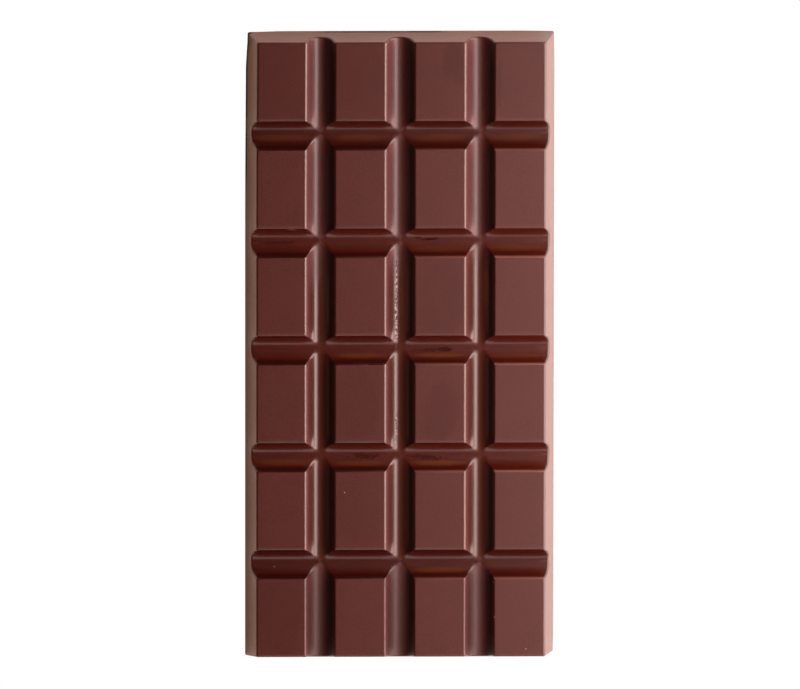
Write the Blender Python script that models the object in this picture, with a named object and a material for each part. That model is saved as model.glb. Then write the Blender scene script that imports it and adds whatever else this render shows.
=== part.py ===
"""A moulded chocolate bar: a flat slab with a sloped rim, scored into a grid of raised blocks.

Metres, +Z up. The origin is the middle of the flat underside. X runs across the bar and Y
along it, and the moulded side with the blocks faces up.
"""

import math

import bmesh
import bpy

# Driving dimensions, in metres.
BAR_WIDTH = 0.0770
BAR_LENGTH = 0.1589
BAR_HEIGHT = 0.0080
SIDE_LEAN = 0.00236  # how far a long side leans in, from its foot to the top
END_LEAN = 0.00150  # the same at the two short ends

COLUMNS = 4
ROWS = 6
COLUMN_PITCH = 0.01987
ROW_PITCH = 0.02720

GROOVE_WIDTH = 0.00714  # between the blocks' edges, at the top
GROOVE_DEPTH = 0.00375
GROOVE_WALL_ANGLE = math.radians(70.0)  # from the horizontal
GROOVE_ROOT_RADIUS = 0.0030  # where a wall runs into the floor
GROOVE_ROOT_SEGMENTS = 7

EDGE_SETBACK = 0.00037  # from a sharp edge to where its rounding starts
EDGE_SEGMENTS = 2
EDGE_MIN_ANGLE = math.radians(35.0)  # shallower edges stay as they are

OVERSHOOT = 0.002  # how far a cutter reaches past what it cuts
CORNER_SIGNS = ((-1, -1), (1, -1), (1, 1), (-1, 1))  # once round the bar, seen from above

CHOCOLATE_COLOUR = (0.088, 0.026, 0.018, 1.0)
CHOCOLATE_ROUGHNESS = 0.38


def clear_scene():
    """Removes whatever the file opened with."""
    for thing in list(bpy.data.objects):
        bpy.data.objects.remove(thing, do_unlink=True)


def chocolate_material():
    """Dark chocolate with a soft sheen."""
    material = bpy.data.materials.new("chocolate")
    material.use_nodes = True
    shader = material.node_tree.nodes["Principled BSDF"]
    shader.inputs["Base Color"].default_value = CHOCOLATE_COLOUR
    shader.inputs["Roughness"].default_value = CHOCOLATE_ROUGHNESS
    shader.inputs["Metallic"].default_value = 0.0
    return material


def new_object(name, shape):
    """Turns a bmesh into an object in the scene."""
    mesh = bpy.data.meshes.new(name)
    bmesh.ops.recalc_face_normals(shape, faces=shape.faces)
    shape.to_mesh(mesh)
    shape.free()
    thing = bpy.data.objects.new(name, mesh)
    bpy.context.scene.collection.objects.link(thing)
    return thing


def mark_as_cutter(thing):
    """A cutter only shows as a wire guide."""
    thing.display_type = "WIRE"
    thing.hide_render = True


def slab():
    """The whole bar without its grooves, continued below the underside by OVERSHOOT.

    Its sides keep their lean there, so that the trim leaves a crisp foot of the bar's
    full width and length.
    """
    grow = OVERSHOOT / BAR_HEIGHT
    shape = bmesh.new()
    corners = []
    for z, lean in ((-OVERSHOOT, -grow), (BAR_HEIGHT, 1.0)):
        x = BAR_WIDTH / 2 - SIDE_LEAN * lean
        y = BAR_LENGTH / 2 - END_LEAN * lean
        corners.append([shape.verts.new((side * x, end * y, z)) for side, end in CORNER_SIGNS])
    lower, upper = corners
    shape.faces.new(lower)
    shape.faces.new(upper)
    for i in range(4):
        j = (i + 1) % 4
        shape.faces.new((lower[i], lower[j], upper[j], upper[i]))
    return new_object("chocolate_bar", shape)


def groove_cutter(name, length):
    """A straight bar along X with the groove's cross-section, its floor corners rounded."""
    slope = math.tan(GROOVE_WALL_ANGLE)
    floor_half = GROOVE_WIDTH / 2 - GROOVE_DEPTH / slope
    top_half = GROOVE_WIDTH / 2 + OVERSHOOT / slope
    floor_z = BAR_HEIGHT - GROOVE_DEPTH
    top_z = BAR_HEIGHT + OVERSHOOT
    section = ((-top_half, top_z), (-floor_half, floor_z), (floor_half, floor_z), (top_half, top_z))

    shape = bmesh.new()
    outline = [shape.verts.new((-length / 2, y, z)) for y, z in section]
    end = shape.faces.new(outline)
    swept = bmesh.ops.extrude_face_region(shape, geom=[end])["geom"]
    moved = [v for v in swept if isinstance(v, bmesh.types.BMVert)]
    bmesh.ops.translate(shape, verts=moved, vec=(length, 0, 0))

    roots = [
        edge for edge in shape.edges
        if all(v.co.z < BAR_HEIGHT for v in edge.verts)
        and abs(edge.verts[0].co.x - edge.verts[1].co.x) > length / 2
    ]
    bmesh.ops.bevel(
        shape,
        geom=roots,
        offset=GROOVE_ROOT_RADIUS * math.tan(GROOVE_WALL_ANGLE / 2),
        offset_type="OFFSET",
        segments=GROOVE_ROOT_SEGMENTS,
        profile=0.5,
        affect="EDGES",
    )
    cutter = new_object(name, shape)
    mark_as_cutter(cutter)
    return cutter


def centred_steps(count, pitch):
    """Places of count lines, pitch apart and centred on zero."""
    return [(i - (count - 1) / 2) * pitch for i in range(count)]


def groove_cutters():
    """Every groove's cutter, gathered in one collection."""
    group = bpy.data.collections.new("groove_cutters")
    bpy.context.scene.collection.children.link(group)
    across = BAR_WIDTH + 2 * OVERSHOOT
    along = BAR_LENGTH + 2 * OVERSHOOT
    placed = []
    for i, y in enumerate(centred_steps(ROWS - 1, ROW_PITCH)):
        cutter = groove_cutter(f"cross_groove_{i + 1}", across)
        cutter.location.y = y
        placed.append(cutter)
    for i, x in enumerate(centred_steps(COLUMNS - 1, COLUMN_PITCH)):
        cutter = groove_cutter(f"long_groove_{i + 1}", along)
        cutter.location.x = x
        cutter.rotation_euler.z = math.pi / 2
        placed.append(cutter)
    for cutter in placed:
        bpy.context.scene.collection.objects.unlink(cutter)
        group.objects.link(cutter)
    return group


def underside_trim():
    """A block that takes off everything below the flat underside."""
    thickness = 2 * OVERSHOOT
    shape = bmesh.new()
    bmesh.ops.create_cube(shape, size=1.0)
    size = (BAR_WIDTH + 2 * OVERSHOOT, BAR_LENGTH + 2 * OVERSHOOT, thickness)
    bmesh.ops.scale(shape, verts=shape.verts, vec=size)
    bmesh.ops.translate(shape, verts=shape.verts, vec=(0, 0, -thickness / 2))
    trim = new_object("underside_trim", shape)
    mark_as_cutter(trim)
    return trim


def add_cut(thing, name, **operand):
    """An exact Boolean difference, with an object or a collection."""
    cut = thing.modifiers.new(name, "BOOLEAN")
    cut.operation = "DIFFERENCE"
    cut.solver = "EXACT"
    for key, value in operand.items():
        setattr(cut, key, value)


def round_edges(thing):
    """Softens the blocks' edges, the rim and the grooves' ends."""
    bevel = thing.modifiers.new("rounded_edges", "BEVEL")
    bevel.offset_type = "OFFSET"
    bevel.width = EDGE_SETBACK
    bevel.segments = EDGE_SEGMENTS
    bevel.limit_method = "ANGLE"
    bevel.angle_limit = EDGE_MIN_ANGLE
    bevel.use_clamp_overlap = False


def chocolate_bar():
    """The bar: slab, grooves, rounded edges and flat underside, in that order."""
    bar = slab()
    bar.data.materials.append(chocolate_material())
    add_cut(bar, "grooves", operand_type="COLLECTION", collection=groove_cutters())
    round_edges(bar)
    add_cut(bar, "underside", operand_type="OBJECT", object=underside_trim())
    return bar


clear_scene()
chocolate_bar()
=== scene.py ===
import math
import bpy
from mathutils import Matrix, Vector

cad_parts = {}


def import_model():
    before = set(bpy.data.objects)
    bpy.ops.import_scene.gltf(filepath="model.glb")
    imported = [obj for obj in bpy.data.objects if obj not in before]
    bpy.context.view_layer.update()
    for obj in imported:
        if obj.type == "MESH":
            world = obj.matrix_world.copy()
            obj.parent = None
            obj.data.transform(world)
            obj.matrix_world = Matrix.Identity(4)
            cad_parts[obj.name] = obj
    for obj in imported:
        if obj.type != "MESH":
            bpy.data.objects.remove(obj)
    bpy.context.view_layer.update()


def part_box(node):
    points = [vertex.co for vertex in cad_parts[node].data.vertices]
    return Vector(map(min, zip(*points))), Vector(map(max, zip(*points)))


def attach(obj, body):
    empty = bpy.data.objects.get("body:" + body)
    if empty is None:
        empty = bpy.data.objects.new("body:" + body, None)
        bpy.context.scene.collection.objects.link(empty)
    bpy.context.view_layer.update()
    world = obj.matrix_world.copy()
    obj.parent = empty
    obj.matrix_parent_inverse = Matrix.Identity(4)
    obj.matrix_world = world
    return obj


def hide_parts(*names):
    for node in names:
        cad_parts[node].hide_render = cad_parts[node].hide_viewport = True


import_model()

from types import SimpleNamespace

import bmesh
import bpy
from mathutils import Matrix, Vector

MM = 0.001
CLOSE = 0.01 * MM
HAIR = 0.001 * MM

# ---------------------------------------------------------------- the bar's own sizes
BAR_LOW, BAR_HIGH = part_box("chocolate_bar")
BAR_WIDTH = BAR_HIGH.x - BAR_LOW.x
BAR_LENGTH = BAR_HIGH.y - BAR_LOW.y
BAR_HEIGHT = BAR_HIGH.z - BAR_LOW.z
LEFT_LEAN = 2.72 * MM  # the rim's lean, from its foot to the top
RIGHT_LEAN = 2.26 * MM
END_LEAN = 1.50 * MM

COLUMNS, ROWS = 4, 6
COLUMN_PITCH = 19.87 * MM
ROW_PITCH = 27.20 * MM

GROOVE_WIDTH = 7.14 * MM
GROOVE_DEPTH = 3.75 * MM
GROOVE_WALL_ANGLE = math.radians(70.0)
GROOVE_ROOT_RADIUS = 3.0 * MM
GROOVE_ROOT_SEGMENTS = 20

EDGE_SETBACK = 0.44 * MM
EDGE_SEGMENTS = 6
CORNER_RADIUS = 0.21 * MM  # of the blocks' tops, seen from above
CORNER_SEGMENTS = 6
CROSSING_RADIUS = 0.95 * MM  # of the same corners down where the grooves cross
ROUNDING_START = 0.6 * MM  # this far outside the flat top the corners start to grow
SIDE_CUTS = 7  # along each side of a block
LONG_SIDE = 0.9  # of half a block's width: an edge longer than this is a side, not a corner
SMOOTH_ANGLE = math.radians(40.0)
FLAT_ANGLE = math.radians(5.0)  # the rim's edges are bent more than this
SKIRT = 4.0 * MM  # how far the body first reaches below the underside
OUTREACH = 10.0 * MM  # how far the outer blocks first reach past the rim
SAME_WAY = 0.9999  # cosine between two directions that count as the same

ACROSS_INSETS = (4.6, 8.0, 13.0)  # mm from a long side: extra edges along the bar
ALONG_INSETS = (2.6, 5.0, 9.0, 14.0, 19.0, 32.0, 44.0)  # mm from an end: extra edges across it
GRIP = 0.9 * MM  # a pull takes hold of what lies this near its point
SHORT_CORNERS = (  # of the foot: side across, side along, pull in mm, reach in mm
    (-1, 1, (0.20, 0, 0), 45),
    (-1, 1, (0.42, -0.22, 0), 9),
    (1, 1, (-0.12, -0.12, 0), 8),
    (-1, -1, (0, 0.38, 0), 6),
    (1, -1, (-0.10, 1.15, 0), 6),
)


# ---------------------------------------------------------------- modelling helpers
def deselect_all():
    for thing in bpy.context.selected_objects:
        thing.select_set(False)


def make_active(thing):
    deselect_all()
    thing.select_set(True)
    bpy.context.view_layer.objects.active = thing


def select_parts(thing, kind, test):
    """In edit mode, selects just the vertices, edges or faces that pass the test."""
    modes = {"verts": "VERT", "edges": "EDGE", "faces": "FACE"}
    bpy.ops.mesh.select_mode(type=modes[kind])
    bpy.ops.mesh.select_all(action="DESELECT")
    shape = bmesh.from_edit_mesh(thing.data)
    for part in getattr(shape, kind):
        part.select_set(test(part))
    shape.select_flush_mode()
    bmesh.update_edit_mesh(thing.data)


def cut_off(thing, point, outward):
    """In edit mode, slices off what lies past a plane and closes the cut with one face."""
    bpy.ops.mesh.select_all(action="SELECT")
    bpy.ops.mesh.bisect(
        plane_co=point, plane_no=outward, use_fill=True, clear_outer=True, threshold=HAIR)
    select_parts(thing, "faces", lambda f: f.normal.dot(Vector(outward)) > SAME_WAY)
    bpy.ops.mesh.dissolve_faces()


def centred_steps(count, pitch):
    return [(i - (count - 1) / 2) * pitch for i in range(count)]


# ---------------------------------------------------------------- the moulded bar
def groove_profile():
    """Steps from a block's flat top down to the middle of the groove: (outward, height)."""
    edge_radius = EDGE_SETBACK / math.tan(GROOVE_WALL_ANGLE / 2)
    steps = []
    for i in range(1, EDGE_SEGMENTS + 1):
        turn = GROOVE_WALL_ANGLE * i / EDGE_SEGMENTS
        drop = edge_radius * (1 - math.cos(turn))
        steps.append((edge_radius * math.sin(turn), BAR_HEIGHT - drop))
    wall_foot = EDGE_SETBACK + GROOVE_DEPTH / math.tan(GROOVE_WALL_ANGLE)
    root_end = wall_foot + GROOVE_ROOT_RADIUS * math.tan(GROOVE_WALL_ANGLE / 2)
    floor = BAR_HEIGHT - GROOVE_DEPTH
    for i in range(GROOVE_ROOT_SEGMENTS + 1):
        turn = GROOVE_WALL_ANGLE * (1 - i / GROOVE_ROOT_SEGMENTS)
        rise = GROOVE_ROOT_RADIUS * (1 - math.cos(turn))
        steps.append((root_end - GROOVE_ROOT_RADIUS * math.sin(turn), floor + rise))
    steps.append((EDGE_SETBACK + GROOVE_WIDTH / 2, floor))
    return steps


def round_corners(cell, half_x, half_y, height, growth):
    """Makes the corners of a cell's lowest ring larger, each about its own sharp corner."""
    for side_x, side_y in ((-1, -1), (-1, 1), (1, -1), (1, 1)):
        select_parts(cell, "verts", lambda v: (
            v.co.x * side_x > 0 and v.co.y * side_y > 0 and v.co.z < height + HAIR))
        bpy.ops.transform.resize(
            value=(growth, growth, 1), center_override=(side_x * half_x, side_y * half_y, height))
    select_parts(cell, "verts", lambda v: v.co.z < height + HAIR)


def block_cell():
    """A raised block and half of the grooves round it: rings drawn outwards from its flat top."""
    half_x = COLUMN_PITCH / 2 - GROOVE_WIDTH / 2 - EDGE_SETBACK
    half_y = ROW_PITCH / 2 - GROOVE_WIDTH / 2 - EDGE_SETBACK
    deselect_all()
    bpy.ops.mesh.primitive_plane_add(size=1.0, location=(0, 0, BAR_HEIGHT))
    cell = bpy.context.object
    cell.name = "block"
    cell.scale = (2 * half_x, 2 * half_y, 1)
    bpy.ops.object.transform_apply(location=True, rotation=True, scale=True)
    bpy.ops.object.mode_set(mode="EDIT")
    bpy.ops.mesh.select_mode(type="VERT")
    bpy.ops.mesh.select_all(action="SELECT")
    bpy.ops.mesh.bevel(offset=CORNER_RADIUS, segments=CORNER_SEGMENTS, affect="VERTICES")
    bpy.ops.mesh.delete(type="ONLY_FACE")
    bpy.ops.mesh.select_mode(type="EDGE")
    bpy.ops.mesh.select_all(action="SELECT")
    outward, height, radius = 0.0, BAR_HEIGHT, CORNER_RADIUS
    floor_outward, floor_height = groove_profile()[-1]
    for next_outward, next_height in groove_profile():
        bpy.ops.mesh.extrude_edges_move()
        bpy.ops.transform.resize(value=(
            (half_x + next_outward) / (half_x + outward),
            (half_y + next_outward) / (half_y + outward), 1))
        bpy.ops.transform.translate(value=(0, 0, next_height - height))
        outward, height = next_outward, next_height
        if outward > ROUNDING_START and height > floor_height + HAIR:
            reached = (outward - ROUNDING_START) / (floor_outward - ROUNDING_START)
            next_radius = CORNER_RADIUS + reached ** 2 * (CROSSING_RADIUS - CORNER_RADIUS)
            round_corners(cell, half_x + outward, half_y + outward, height, next_radius / radius)
            radius = next_radius
    select_parts(cell, "edges", lambda e: e.calc_length() > LONG_SIDE * half_x)
    bpy.ops.mesh.subdivide(number_cuts=SIDE_CUTS)
    select_parts(cell, "edges", lambda e: min(v.co.z for v in e.verts) > BAR_HEIGHT - HAIR)
    bpy.ops.mesh.edge_face_add()
    bpy.ops.object.mode_set(mode="OBJECT")
    return cell


def block_field():
    """All the blocks as one sheet; the outer ones reach past the rim."""
    first = block_cell()
    columns, rows = centred_steps(COLUMNS, COLUMN_PITCH), centred_steps(ROWS, ROW_PITCH)
    cells = []
    for x in columns:
        for y in rows:
            cell = first.copy()
            cell.data = first.data.copy()
            bpy.context.scene.collection.objects.link(cell)
            make_active(cell)
            bpy.ops.object.mode_set(mode="EDIT")
            for axis, place, last in ((0, x, columns[-1]), (1, y, rows[-1])):
                if abs(place) > abs(last) - CLOSE:
                    side = math.copysign(1, place)
                    select_parts(cell, "verts", lambda v: v.co[axis] * side > CLOSE)
                    reach = [0, 0, 0]
                    reach[axis] = side * OUTREACH
                    bpy.ops.transform.translate(value=reach)
            bpy.ops.object.mode_set(mode="OBJECT")
            cell.location = (x, y, 0)
            bpy.ops.object.transform_apply(location=True, rotation=True, scale=True)
            cells.append(cell)
    bpy.data.objects.remove(first)
    make_active(cells[0])
    for cell in cells:
        cell.select_set(True)
    bpy.ops.object.join()
    field = bpy.context.object
    field.name = "moulded_bar"
    return field


def score(place, axis):
    """In edit mode, adds edges where a plane across an axis meets the shape."""
    point, outward = [0, 0, 0], [0, 0, 0]
    point[axis], outward[axis] = place, 1
    bpy.ops.mesh.select_all(action="SELECT")
    bpy.ops.mesh.bisect(plane_co=point, plane_no=outward, threshold=HAIR)


def pull(thing, point, offset, reach):
    """Moves what lies at a point by an offset, and its surroundings less and less out to reach."""
    middle = Vector(point)
    select_parts(thing, "verts", lambda v: (v.co - middle).length < GRIP)
    bpy.ops.transform.translate(
        value=Vector(offset) * MM, use_proportional_edit=True, proportional_edit_falloff="SMOOTH",
        proportional_size=reach)


def cast_unevenness(bar):
    """Corners of the foot that came out of the mould a little short."""
    for side in (-1, 1):
        for inset in ACROSS_INSETS:
            score(side * (BAR_WIDTH / 2 - inset * MM), 0)
        for inset in ALONG_INSETS:
            score(side * (BAR_LENGTH / 2 - inset * MM), 1)
    for across, along, offset, reach in SHORT_CORNERS:
        pull(bar, (across * BAR_WIDTH / 2, along * BAR_LENGTH / 2, 0), offset, reach * MM)


def moulded_bar():
    """The sheet of blocks closed to a body, its sloped rim cut and rounded."""
    bar = block_field()
    bpy.ops.object.mode_set(mode="EDIT")
    bpy.ops.mesh.select_all(action="SELECT")
    bpy.ops.mesh.remove_doubles(threshold=CLOSE)
    bpy.ops.mesh.select_mode(type="EDGE")
    bpy.ops.mesh.select_all(action="SELECT")
    bpy.ops.mesh.fill_holes(sides=4 * CORNER_SEGMENTS)
    select_parts(bar, "edges", lambda e: e.is_boundary)
    bpy.ops.mesh.extrude_edges_move()
    bpy.ops.transform.translate(value=(0, 0, -SKIRT - BAR_HEIGHT + GROOVE_DEPTH))
    bpy.ops.mesh.edge_face_add()
    bpy.ops.mesh.select_all(action="SELECT")
    bpy.ops.mesh.normals_make_consistent(inside=False)

    slopes = []
    for side, lean in ((-1, LEFT_LEAN), (1, RIGHT_LEAN)):
        slopes.append(Vector((side * BAR_HEIGHT, 0, lean)).normalized())
        cut_off(bar, (side * BAR_WIDTH / 2, 0, 0), slopes[-1])
        slopes.append(Vector((0, side * BAR_HEIGHT, END_LEAN)).normalized())
        cut_off(bar, (0, side * BAR_LENGTH / 2, 0), slopes[-1])

    def on_rim(edge):
        sides = [face.normal for face in edge.link_faces]
        sloped = [n for n in sides if max(n.dot(slope) for slope in slopes) > SAME_WAY]
        foot = max(v.co.z for v in edge.verts) < -CLOSE
        return bool(sloped) and not foot and edge.calc_face_angle() > FLAT_ANGLE

    select_parts(bar, "edges", on_rim)
    bpy.ops.mesh.bevel(
        offset=EDGE_SETBACK, offset_type="OFFSET", segments=EDGE_SEGMENTS, profile=0.5,
        affect="EDGES", clamp_overlap=False)
    cut_off(bar, (0, 0, 0), (0, 0, -1))
    cast_unevenness(bar)
    bpy.ops.object.mode_set(mode="OBJECT")
    bpy.ops.object.shade_smooth_by_angle(angle=SMOOTH_ANGLE)
    weighted = bar.modifiers.new("even_shading", "WEIGHTED_NORMAL")
    weighted.keep_sharp = True
    make_active(bar)
    bpy.ops.object.modifier_apply(modifier=weighted.name)
    return bar


# ---------------------------------------------------------------- node helpers
def feed(tree, socket, value):
    """Links an output to a socket, or sets the socket's own value."""
    if isinstance(value, bpy.types.NodeSocket):
        tree.links.new(value, socket)
    else:
        socket.default_value = value


def calc(tree, operation, *values):
    node = tree.nodes.new("ShaderNodeMath")
    node.operation = operation
    for socket, value in zip(node.inputs, values):
        feed(tree, socket, value)
    return node.outputs[0]


def fade(tree, value, low, high, first=0.0, last=1.0):
    """Passes smoothly from first to last as the value goes from low to high."""
    node = tree.nodes.new("ShaderNodeMapRange")
    node.interpolation_type = "SMOOTHSTEP"
    feed(tree, node.inputs["Value"], value)
    feed(tree, node.inputs["From Min"], low)
    feed(tree, node.inputs["From Max"], high)
    feed(tree, node.inputs["To Min"], first)
    feed(tree, node.inputs["To Max"], last)
    return node.outputs["Result"]


def fade_in(tree, place, low, high, first=0.0, last=1.0):
    """The same for a place or a distance, with low and high in mm."""
    return fade(tree, place, low * MM, high * MM, first, last)


def fade_out(tree, place, low, high):
    """1 up to low, 0 from high on, both in mm."""
    return fade_in(tree, place, low, high, 1.0, 0.0)


def times(tree, value, *factors):
    """A product; of masks, where all of them hold."""
    for factor in factors:
        value = calc(tree, "MULTIPLY", value, factor)
    return value


def outside(tree, mask):
    """1 where the mask is 0, and 0 where it is 1."""
    return calc(tree, "SUBTRACT", 1.0, mask)


def lumps(tree, place, size, detail):
    """Uneven values round 0.5, in lumps of about the given size."""
    node = tree.nodes.new("ShaderNodeTexNoise")
    feed(tree, node.inputs["Vector"], place)
    node.inputs["Scale"].default_value = 1 / size
    node.inputs["Detail"].default_value = detail
    return node.outputs["Fac"]


def either(tree, masks):
    """The strongest of several masks."""
    strongest = masks[0]
    for mask in masks[1:]:
        strongest = calc(tree, "MAXIMUM", strongest, mask)
    return strongest


def blend(tree, factor, first, second):
    """Passes from the first value or colour to the second as the factor goes from 0 to 1."""
    node = tree.nodes.new("ShaderNodeMix")
    coloured = isinstance(second, tuple)
    node.data_type = "RGBA" if coloured else "FLOAT"
    places = (6, 7, 2) if coloured else (2, 3, 0)
    feed(tree, node.inputs[0], factor)
    feed(tree, node.inputs[places[0]], first)
    feed(tree, node.inputs[places[1]], second)
    return node.outputs[places[2]]


def layered(tree, value, layers):
    """Lays values over a value, each where its mask says."""
    for mask, over in layers:
        value = blend(tree, mask, value, over)
    return value


def oval_mark_group():
    """A soft, ragged oval mark, lying flat at a place on the bar."""
    group = bpy.data.node_groups.new("oval_mark", "ShaderNodeTree")
    group.interface.new_socket("Place", in_out="INPUT", socket_type="NodeSocketVector")
    for name in ("Middle X", "Middle Y", "Half Length", "Half Width", "Turn", "Ragged", "Strength"):
        group.interface.new_socket(name, in_out="INPUT", socket_type="NodeSocketFloat")
    group.interface.new_socket("Mask", in_out="OUTPUT", socket_type="NodeSocketFloat")
    given = group.nodes.new("NodeGroupInput").outputs
    result = group.nodes.new("NodeGroupOutput")
    split = group.nodes.new("ShaderNodeSeparateXYZ")
    group.links.new(given["Place"], split.inputs[0])
    away_x = calc(group, "SUBTRACT", split.outputs[0], given["Middle X"])
    away_y = calc(group, "SUBTRACT", split.outputs[1], given["Middle Y"])
    cosine = calc(group, "COSINE", given["Turn"])
    sine = calc(group, "SINE", given["Turn"])
    along = calc(group, "MULTIPLY_ADD", away_x, cosine, calc(group, "MULTIPLY", away_y, sine))
    aside = calc(group, "MULTIPLY", away_y, cosine)
    aside = calc(group, "SUBTRACT", aside, calc(group, "MULTIPLY", away_x, sine))
    along = calc(group, "DIVIDE", along, given["Half Length"])
    aside = calc(group, "DIVIDE", aside, given["Half Width"])
    reach = calc(group, "MULTIPLY_ADD", along, along, calc(group, "MULTIPLY", aside, aside))
    reach = calc(group, "SQRT", reach)
    uneven = calc(group, "SUBTRACT", lumps(group, given["Place"], 1.1 * MM, detail=3.0), 0.5)
    reach = calc(group, "MULTIPLY_ADD", uneven, given["Ragged"], reach)
    mask = calc(group, "MULTIPLY", fade(group, reach, 0.55, 1.3, 1.0, 0.0), given["Strength"])
    group.links.new(mask, result.inputs["Mask"])
    return group


# ---------------------------------------------------------------- chocolate
# Marks on the bar: middle x and y, half length and half width in mm, turn in degrees,
# raggedness and strength.
DARKER_TOPS = (
    (13.1, 73.2, 4.9, 2.9, 90, 0.9, 0.9),  # a shiny patch on the third block of the end row
    (14.7, 68.4, 1.6, 1.3, 0, 1.2, 0.8),
    (24.6, 67.3, 7.5, 0.5, 90, 2.0, 0.9),  # specks along the fourth block's edge
    (10.4, -15.6, 8.5, 5.2, 76, 0.9, 0.5),
    (9.9, 13.6, 11.0, 7.0, 90, 0.5, 0.35),
    (-10.1, -13.5, 11.0, 7.0, 90, 0.5, 0.4),
    (-10.1, -40.8, 11.0, 7.0, 90, 0.5, 0.25),
    (-30.0, -68.0, 12.0, 8.0, 90, 0.5, 0.4),
)
GROOVE_SMEARS = (
    (-29.8, 26.7, 5.0, 0.35, 0, 1.2, 0.4),
    (4.6, 27.9, 0.9, 0.25, 0, 0.8, 0.9),
    (7.5, 27.5, 2.0, 0.34, 4, 0.8, 1.0),
    (-6.1, -3.6, 1.8, 0.35, 0, 1.0, 0.8),
    (11.3, -0.5, 1.9, 0.6, 0, 1.2, 0.9),
    (7.0, -0.6, 4.0, 0.5, 0, 1.6, 0.5),
    (-8.8, -27.5, 3.4, 0.8, 0, 2.6, 0.6),
    (6.4, -27.9, 5.0, 0.7, -4, 1.6, 0.55),
)
# Painted warm reflection along the cross grooves' floors, and one mottled patch on a long groove.
WARM_BANDS = (
    (-29.0, 53.2, 7.0, 0.8, 0, 0.6, 0.4),
    (-9.8, 53.2, 6.5, 0.9, 0, 0.6, 0.4),
    (9.8, 53.2, 6.5, 0.9, 0, 0.6, 0.4),
    (29.0, 53.2, 7.0, 0.8, 0, 0.6, 0.4),
    (29.0, 25.4, 7.0, 0.7, 0, 0.6, 0.5),
    (9.8, 25.2, 7.0, 0.7, 0, 0.6, 0.4),
    (21.5, 15.5, 6.0, 0.7, 90, 1.6, 0.8),  # mottling on a long groove's shaded side
    (-9.8, -1.9, 6.5, 0.55, 0, 0.5, 0.7),
    (9.8, -1.9, 6.5, 0.50, 0, 0.4, 0.9),
    (29.0, -2.0, 7.0, 0.5, 0, 0.6, 0.5),
    (-29.0, -29.0, 7.0, 0.7, 0, 0.6, 0.5),
    (-9.8, -29.2, 6.5, 0.6, 0, 0.6, 0.6),
    (9.8, -29.2, 6.5, 0.6, 0, 0.5, 0.9),
    (9.8, -56.4, 6.5, 0.6, 0, 0.6, 0.6),
)
LIGHT_SPECKS = (
    (-13.8, -36.1, 0.18, 0.16, 0, 0.5, 1.0),
    (23.3, -59.2, 0.16, 0.16, 0, 0.5, 1.0),
    (23.6, -67.9, 0.20, 0.14, 60, 0.5, 0.9),
    (-31.3, -55.6, 0.16, 0.16, 0, 0.5, 0.8),
    (31.5, -76.0, 0.22, 0.14, 0, 0.5, 0.8),
    (-27.0, 30.4, 1.2, 0.12, -8, 0.6, 1.0),  # a painted highlight along a thin ridge on a groove's lip
)
DARK_FOOT = (
    (-38.4, 77.0, 4.0, 2.0, 90, 0.8, 1.0),  # under the left side and the far end
    (-38.4, 66.0, 9.0, 2.0, 90, 1.2, 1.0),
    (-38.4, 48.0, 7.0, 2.0, 90, 1.4, 0.9),
    (-9.0, 79.4, 12.0, 2.0, 0, 1.4, 0.8),
    (6.0, 79.4, 5.0, 2.0, 0, 1.2, 0.9),
)
# Painted sheen: lighter patches on the long grooves' floors.
SHEEN_PATCHES = (
    (-18.6, 12.5, 11.0, 1.1, 90, 0.8, 0.5),
    (1.3, 12.5, 11.0, 1.1, 90, 0.8, 0.5),
    (-18.6, 39.5, 11.0, 1.0, 90, 0.8, 0.25),
    (1.3, 39.5, 11.0, 1.0, 90, 0.8, 0.3),
    (1.3, -66.5, 11.0, 1.0, 90, 0.8, 0.3),
)
# Pitted stretches of the grooves: dark pits, with painted glints among them.
PITTED = (
    (-0.9, 12.6, 13.0, 0.45, 90, 0.8, 1.0),
    (-0.9, -20.5, 4.5, 0.40, 90, 0.8, 0.6),
)

# Stretches in mm over which a mask fades.
FLAT_TOP = (-0.10, -0.02)  # height, from the tops
BLOCK_EDGE = (7.40, 7.65)  # height, from the underside
WALL_FOOT = (5.6, 6.4)
BAR_FOOT = (0.9, 1.4)
RIM_START = (-0.45, -0.20)  # outward, from the rim's slopes
CREASE = (-0.15, 0.15)  # from where the sides of a long and a cross groove meet
LIT_WALL = (-0.5, 0.5)  # across, from the middle of a long groove
LIT_SIDE = (-1.4, -0.9)
SHADED_SIDE = (0.8, 2.2)
BESIDE_GROOVE = (3.4, 3.7)
LIP_START = (3.75, 3.95)  # along, from the middle of a cross groove
LIP_END = (4.15, 4.45)
LOW_LIP_START = (-3.90, -3.70)
LOW_LIP_END = (-3.45, -3.25)
LEFT_RIM = (-35.5, -34)  # across, from the middle of the bar
RIGHT_RIM = (34, 35.5)
LOW_LIP_RISE = (-20, 34)
DARK_WALL_RISE = (-10, 32)
HAZE_RISE = (-38, 38)
LAST_ROW = (-56, -52)  # along, from the middle of the bar
UPPER_ROWS = (-40, -20)
END_ROW = (52, 66)
FAR_RIM = (77, 78)
END_GROOVES = (40, 42)  # along, from the middle towards either end
GLOSS_START = (-56.4, -52.4)  # along: from here to the next one the mould was smoother
GLOSS_END = (16.5, 24.5)
GLOSS_SLANT = -0.17  # of that end, per mm across
GLOSS_WANDER = 3 * MM  # how unevenly both run


def marks(tree, group, place, rows):
    """One mask that holds all the marks of a list."""
    masks = []
    for x, y, half_length, half_width, turn, ragged, strength in rows:
        node = tree.nodes.new("ShaderNodeGroup")
        node.node_tree = group
        tree.links.new(place, node.inputs["Place"])
        node.inputs["Middle X"].default_value = x * MM
        node.inputs["Middle Y"].default_value = y * MM
        node.inputs["Half Length"].default_value = half_length * MM
        node.inputs["Half Width"].default_value = half_width * MM
        node.inputs["Turn"].default_value = math.radians(turn)
        node.inputs["Ragged"].default_value = ragged
        node.inputs["Strength"].default_value = strength
        masks.append(node.outputs["Mask"])
    return either(tree, masks)


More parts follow.
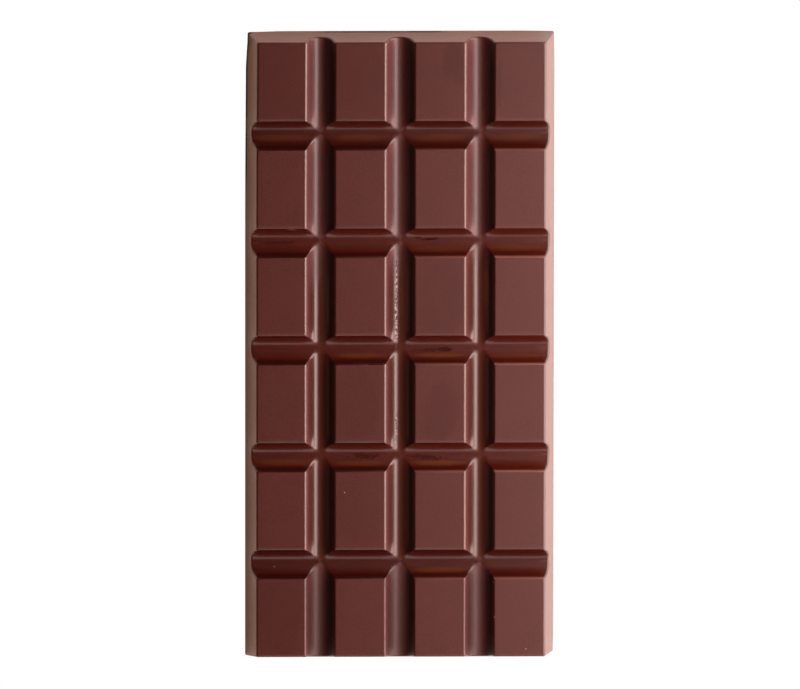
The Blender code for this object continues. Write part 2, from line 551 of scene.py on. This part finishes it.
def rim_mask(tree, x, y, z):
    """1 on the four slopes of the rim, 0 inside them."""
    slopes = (
        (x, BAR_WIDTH, RIGHT_LEAN),
        (calc(tree, "MULTIPLY", x, -1.0), BAR_WIDTH, LEFT_LEAN),
        (calc(tree, "ABSOLUTE", y), BAR_LENGTH, END_LEAN))
    past = []
    for outward, size, lean in slopes:
        past_foot = calc(tree, "SUBTRACT", outward, size / 2)
        past.append(calc(tree, "MULTIPLY_ADD", z, lean / BAR_HEIGHT, past_foot))
    return fade_in(tree, either(tree, past), *RIM_START)


def bar_places(tree):
    """Masks that tell the parts of the bar apart: its tops, grooves, walls, lips and rim."""
    at = SimpleNamespace()
    at.place = tree.nodes.new("ShaderNodeTexCoord").outputs["Object"]
    split = tree.nodes.new("ShaderNodeSeparateXYZ")
    tree.links.new(at.place, split.inputs[0])
    at.x, at.y, at.z = split.outputs
    off_x = calc(tree, "WRAP", at.x, COLUMN_PITCH / 2, -COLUMN_PITCH / 2)  # from the nearest groove
    off_y = calc(tree, "WRAP", at.y, ROW_PITCH / 2, -ROW_PITCH / 2)
    far_x = calc(tree, "ABSOLUTE", off_x)
    far_y = calc(tree, "ABSOLUTE", off_y)

    at.top = fade_in(tree, calc(tree, "SUBTRACT", at.z, BAR_HEIGHT), *FLAT_TOP)
    at.groove = outside(tree, at.top)
    at.rim = rim_mask(tree, at.x, at.y, at.z)
    at.foot = fade_out(tree, at.z, *BAR_FOOT)
    at.last_row = fade_out(tree, at.y, *LAST_ROW)
    at.upper_rows = fade_in(tree, at.y, *UPPER_ROWS)

    deep = times(tree, at.groove, outside(tree, at.rim))
    crease = calc(tree, "SUBTRACT", far_y, far_x)
    at.long_groove = times(tree, deep, fade_in(tree, crease, *CREASE))
    at.lit_side = times(tree, at.long_groove, fade_out(tree, off_x, *LIT_SIDE))
    at.shaded_side = times(tree, at.long_groove, fade_in(tree, off_x, *SHADED_SIDE))
    cross_groove = calc(tree, "SUBTRACT", deep, at.long_groove)
    near_end = fade_in(tree, calc(tree, "ABSOLUTE", at.y), *END_GROOVES)
    at.end_groove = times(tree, cross_groove, near_end)

    high = fade_in(tree, at.z, *WALL_FOOT)
    at.wall = times(tree, at.long_groove, high)
    at.lit_wall = times(tree, at.wall, fade_out(tree, off_x, *LIT_WALL))
    at.cross_wall = times(tree, cross_groove, high)
    at.edge = fade_in(tree, at.z, *BLOCK_EDGE)

    beside = times(tree, fade_in(tree, far_x, *BESIDE_GROOVE), outside(tree, at.rim))
    at.lip = times(
        tree, beside, fade_in(tree, off_y, *LIP_START), fade_out(tree, off_y, *LIP_END))
    at.low_lip = times(
        tree, beside, fade_in(tree, off_y, *LOW_LIP_START), fade_out(tree, off_y, *LOW_LIP_END),
        fade_in(tree, at.x, *LOW_LIP_RISE))
    return at


def add_unevenness(tree, at):
    """Adds cloudy values of several sizes, and masks for the shinier rows, for the marks, and for
    painted sheen, glints and warm reflection.
    """
    at.broad = lumps(tree, at.place, size=9 * MM, detail=2.0)
    at.cloud = lumps(tree, at.place, size=2.6 * MM, detail=3.0)
    at.grain = lumps(tree, at.place, size=0.45 * MM, detail=2.0)
    dots = lumps(tree, at.place, size=0.42 * MM, detail=1.0)

    wander = calc(tree, "SUBTRACT", at.cloud, 0.5)
    wavy_y = calc(tree, "MULTIPLY_ADD", wander, GLOSS_WANDER, at.y)
    slanted_y = calc(tree, "MULTIPLY_ADD", at.x, GLOSS_SLANT, wavy_y)
    at.glossy = times(
        tree, fade_in(tree, wavy_y, *GLOSS_START), fade_out(tree, slanted_y, *GLOSS_END))
    at.shiny = times(tree, at.glossy, at.long_groove)

    oval_mark = oval_mark_group()
    darker = marks(tree, oval_mark, at.place, DARKER_TOPS)
    end_row = times(tree, fade_in(tree, at.y, *END_ROW), 0.3)
    at.dark_tops = times(tree, either(tree, [darker, end_row]), at.top)
    at.smears = times(tree, marks(tree, oval_mark, at.place, GROOVE_SMEARS), at.groove)
    at.warm = times(tree, marks(tree, oval_mark, at.place, WARM_BANDS), at.groove)
    at.hazes = times(tree, marks(tree, oval_mark, at.place, SHEEN_PATCHES), at.long_groove)
    at.shaded_foot = times(tree, marks(tree, oval_mark, at.place, DARK_FOOT), at.foot)
    pitted = times(tree, marks(tree, oval_mark, at.place, PITTED), at.groove)
    at.dark_dots = times(tree, pitted, fade(tree, dots, 0.38, 0.48, 1.0, 0.0))
    # painted glints among the pits
    glint_dots = times(tree, pitted, fade(tree, dots, 0.56, 0.68, 0.0, 0.8))
    at.specks = either(tree, [marks(tree, oval_mark, at.place, LIGHT_SPECKS), glint_dots])
    at.dull = either(tree, [at.shaded_foot, at.dark_dots])


def chocolate_colour(tree, at):
    """Reddish brown with its grain, tone and dark marks, and over it painted sheen and highlights
    where the light falls, painted shade where it doesn't, and a painted warm reflection.
    """
    colour = blend(
        tree, fade(tree, at.broad, 0.3, 0.7), (0.034, 0.0022, 0.0005, 1), (0.039, 0.0029, 0.0007, 1))
    # Painted sheen: the long grooves' sides that face the light, paler, except in the last row.
    painted_sheen_side = times(tree, at.lit_side, outside(tree, at.last_row))
    # Painted shade on the cross grooves' walls, strongest on the side away from the light.
    painted_wall_shade = fade_in(tree, at.x, *DARK_WALL_RISE, 0.8, 0.15)
    layers = (  # mask, strength, red, green, blue
        (fade(tree, at.grain, 0.35, 0.65), 0.6, 0.052, 0.0080, 0.0030),
        # painted sheen: the glossy rows' long grooves lighter and less red
        (at.shiny, 1.0, 0.045, 0.0100, 0.0045),
        # painted sheen on the long grooves' lit sides
        (painted_sheen_side, blend(tree, at.glossy, 0.9, 0.25), 0.068, 0.0200, 0.0180),
        # painted shade: the lit sides darker in the last row, where the light falls off
        (times(tree, at.lit_side, at.last_row), 0.6, 0.022, 0.0012, 0.0004),
        # painted sheen on the long grooves' lit walls, weaker in the last row
        (at.lit_wall, blend(tree, at.last_row, 0.8, 0.3), 0.048, 0.0180, 0.0200),
        # painted highlight along the block edges over the lit walls
        (times(tree, at.lit_wall, at.edge), blend(tree, at.last_row, 1.0, 0.1), 0.110, 0.050, 0.042),
        # painted shade on the long grooves' shaded sides
        (at.shaded_side, 0.4, 0.010, 0.0010, 0.0003),
        # painted sheen in lighter patches on the long grooves' floors
        (at.hazes, 1.0, 0.080, 0.0300, 0.0180),
        # painted shade on the cross grooves' walls
        (at.cross_wall, painted_wall_shade, 0.014, 0.0008, 0.0002),
        # painted highlight along the cross grooves' lower lips, brighter towards the light
        (at.low_lip, 1.0, 0.130, 0.0500, 0.0400),
        (at.end_groove, 0.4, 0.018, 0.0010, 0.0003),
        (at.dark_tops, 0.6, 0.024, 0.0012, 0.0003),
        # painted warm reflection in the cross grooves, and the mottled patch
        (at.warm, 1.0, 0.075, 0.0200, 0.0040),
        (at.smears, 0.8, 0.016, 0.0014, 0.0004),
        # painted highlight along the cross grooves' upper lips
        (at.lip, 0.9, 0.055, 0.0130, 0.0110),
        # painted sheen: the rim's right slope, which faces the light, paler and pinker
        (at.rim, fade_in(tree, at.x, *RIGHT_RIM), 0.039, 0.0160, 0.0140),
        # painted light: the rim's left slope, turned from the light, lighter
        (at.rim, fade_out(tree, at.x, *LEFT_RIM), 0.047, 0.0045, 0.0014),
        (at.dark_dots, 1.0, 0.012, 0.0014, 0.0004),
        (at.shaded_foot, 1.0, 0.004, 0.0010, 0.0004),
        # light specks, and painted glints in the pitted stretches
        (at.specks, 1.0, 0.280, 0.1800, 0.1500),
    )
    return layered(tree, colour, [
        (times(tree, mask, strength), (red, green, blue, 1))
        for mask, strength, red, green, blue in layers])


def chocolate_roughness(tree, at):
    """Satin block tops with a light haze, smoother grooves and dull walls."""
    glossy_root = blend(tree, at.upper_rows, 0.31, 0.28)
    root = blend(tree, at.glossy, blend(tree, at.last_row, 0.47, 0.56), glossy_root)
    satin = fade_in(tree, at.x, *HAZE_RISE, 0.406, 0.446)
    for uneven in (at.cloud, at.grain):
        satin = calc(tree, "MULTIPLY_ADD", calc(tree, "SUBTRACT", uneven, 0.5), 0.045, satin)
    satin = calc(tree, "SUBTRACT", satin, times(tree, at.dark_tops, 0.045))
    cross_root = 0.305
    return layered(tree, cross_root, (
        (at.long_groove, root),
        (at.wall, 0.60),
        (at.cross_wall, 0.30),
        (times(tree, at.edge, at.long_groove), 0.44),
        (at.smears, 0.22),
        (at.top, satin),
        (at.rim, 0.45),
        (at.dull, 0.8),
    ))


def chocolate_coat(tree, at):
    """A thin polish from the mould, which the shaded sides and the last row hardly have."""
    coat = blend(tree, at.shiny, 0.18, blend(tree, at.upper_rows, 0.05, 0.11))
    coat = blend(tree, at.shaded_side, coat, 0.0)
    coat = times(tree, coat, blend(tree, at.last_row, 1.0, 0.1))
    rim_coat = blend(tree, fade_in(tree, at.y, *FAR_RIM), 0.27, 0.17)
    return layered(tree, coat, ((at.rim, rim_coat), (at.dull, 0.0)))


def chocolate_normal(tree, at):
    """A faint unevenness, fainter still where the mould was smooth."""
    relief = calc(tree, "MULTIPLY_ADD", at.grain, 0.5, at.cloud)
    relief = times(tree, relief, blend(tree, at.shiny, 1.0, 0.2))
    bump = tree.nodes.new("ShaderNodeBump")
    bump.inputs["Strength"].default_value = 1.0
    bump.inputs["Distance"].default_value = 0.006 * MM
    tree.links.new(relief, bump.inputs["Height"])
    return bump.outputs["Normal"]


def chocolate():
    """Dark milk chocolate: hazy block tops, shinier grooves, the marks the mould left, and painted
    light and shade.
    """
    material = bpy.data.materials.new("chocolate")
    material.use_nodes = True
    tree = material.node_tree
    inputs = tree.nodes["Principled BSDF"].inputs
    at = bar_places(tree)
    add_unevenness(tree, at)
    feed(tree, inputs["Base Color"], chocolate_colour(tree, at))
    feed(tree, inputs["Roughness"], chocolate_roughness(tree, at))
    feed(tree, inputs["Coat Weight"], chocolate_coat(tree, at))
    feed(tree, inputs["Normal"], chocolate_normal(tree, at))
    feed(tree, inputs["IOR"], 1.5)
    feed(tree, inputs["Coat Roughness"], 0.10)
    return material


# ---------------------------------------------------------------- camera, floor and light
PHOTO_WIDTH = 800  # pixels
PIXELS_PER_MM = 4.012
SENSOR_WIDTH = 36.0
CAMERA_DISTANCE = 7.0
CAMERA_CLIP = (0.1, 20.0)
CAMERA_TILT_TO_END = math.radians(11.0)
CAMERA_TILT_TO_SIDE = math.radians(1.1)
CAMERA_ROLL = math.radians(0.15)
CAMERA_AIM = Vector((0.05 * MM, 0.7 * MM, BAR_HEIGHT / 2))

SHEET_SIZE = 8.0
SHEET_GAP = 0.05 * MM  # under the bar
SHEET_COLOUR = (0.8, 0.8, 0.8, 1)
SHEET_GLOW = (1.0, 0.47, 0.22, 1)
SHEET_GLOW_STRENGTH = 0.5
WINDOW_TINT = (1.0, 0.76, 0.72)
SURROUND_LIGHT = 0.005


def camera():
    """Looks down on the bar, from a little towards its far end and its left side."""
    data = bpy.data.cameras.new("camera")
    data.sensor_width = SENSOR_WIDTH
    data.lens = SENSOR_WIDTH * CAMERA_DISTANCE * PIXELS_PER_MM / MM / PHOTO_WIDTH
    data.clip_start, data.clip_end = CAMERA_CLIP
    thing = bpy.data.objects.new("camera", data)
    turn = (Matrix.Rotation(-CAMERA_TILT_TO_END, 3, "X")
            @ Matrix.Rotation(-CAMERA_TILT_TO_SIDE, 3, "Y")
            @ Matrix.Rotation(-CAMERA_ROLL, 3, "Z"))
    stand = CAMERA_AIM + turn @ Vector((0, 0, CAMERA_DISTANCE))
    thing.matrix_world = Matrix.Translation(stand) @ turn.to_4x4()
    bpy.context.scene.collection.objects.link(thing)
    bpy.context.scene.camera = thing


def white_sheet():
    """Plain white to the camera; to everything else, pale and glowing warmly."""
    material = bpy.data.materials.new("white_sheet")
    material.use_nodes = True
    nodes, links = material.node_tree.nodes, material.node_tree.links
    nodes.clear()
    out = nodes.new("ShaderNodeOutputMaterial")
    mix = nodes.new("ShaderNodeMixShader")
    path = nodes.new("ShaderNodeLightPath")
    diffuse = nodes.new("ShaderNodeBsdfDiffuse")
    diffuse.inputs["Color"].default_value = SHEET_COLOUR
    glow = nodes.new("ShaderNodeEmission")
    glow.inputs["Color"].default_value = SHEET_GLOW
    glow.inputs["Strength"].default_value = SHEET_GLOW_STRENGTH
    lit = nodes.new("ShaderNodeAddShader")
    white = nodes.new("ShaderNodeEmission")
    white.inputs["Strength"].default_value = 1.0
    links.new(diffuse.outputs[0], lit.inputs[0])
    links.new(glow.outputs[0], lit.inputs[1])
    links.new(path.outputs["Is Camera Ray"], mix.inputs["Fac"])
    links.new(lit.outputs[0], mix.inputs[1])
    links.new(white.outputs[0], mix.inputs[2])
    links.new(mix.outputs[0], out.inputs["Surface"])
    return material


def floor():
    """The sheet the bar lies on, which is the photo's white ground."""
    deselect_all()
    bpy.ops.mesh.primitive_plane_add(size=SHEET_SIZE, location=(0, 0, -SHEET_GAP))
    sheet = bpy.context.object
    sheet.name = "floor"
    sheet.data.materials.append(white_sheet())


def panel(name, azimuth, low, high, spread, distance, radiance):
    """A soft panel facing the bar, seen from it between two elevations and spread degrees wide."""
    middle = math.radians((low + high) / 2)
    turn = math.radians(azimuth)
    toward = Vector((math.cos(middle) * math.cos(turn), math.cos(middle) * math.sin(turn),
                     math.sin(middle)))
    data = bpy.data.lights.new(name, "AREA")
    data.shape = "RECTANGLE"
    data.size = 2 * distance * math.tan(math.radians(spread) / 2)
    data.size_y = 2 * distance * math.tan(math.radians(high - low) / 2)
    data.energy = radiance * math.pi * data.size * data.size_y
    data.color = WINDOW_TINT
    thing = bpy.data.objects.new(name, data)
    thing.location = toward * distance
    thing.rotation_euler = toward.to_track_quat("Z", "Y").to_euler()
    thing.visible_camera = False
    bpy.context.scene.collection.objects.link(thing)


def world():
    """Dim even light all round; plain white behind the floor."""
    scene_world = bpy.data.worlds.new("surround")
    scene_world.use_nodes = True
    nodes, links = scene_world.node_tree.nodes, scene_world.node_tree.links
    background = nodes["Background"]
    path = nodes.new("ShaderNodeLightPath")
    mix = nodes.new("ShaderNodeMix")
    mix.data_type = "FLOAT"
    mix.inputs[2].default_value = SURROUND_LIGHT
    mix.inputs[3].default_value = 1.0
    links.new(path.outputs["Is Camera Ray"], mix.inputs[0])
    background.inputs["Color"].default_value = (1, 1, 1, 1)
    links.new(mix.outputs[0], background.inputs["Strength"])
    bpy.context.scene.world = scene_world


bar = moulded_bar()
bar.data.materials.clear()
bar.data.materials.append(chocolate())
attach(bar, "root")
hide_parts("chocolate_bar")

floor()
panel("window_low", azimuth=0, low=1, high=34, spread=80, distance=0.32, radiance=8.8)
panel("window_middle", azimuth=0, low=42, high=60, spread=80, distance=0.32, radiance=11.0)
panel("window_high", azimuth=0, low=61, high=71, spread=60, distance=0.32, radiance=6.7)
panel("window_far", azimuth=50, low=1, high=40, spread=40, distance=0.40, radiance=2.8)
panel("fill_near", azimuth=270, low=25, high=50, spread=50, distance=0.50, radiance=2.2)
world()
camera()
bpy.context.scene.view_settings.view_transform = "Standard"
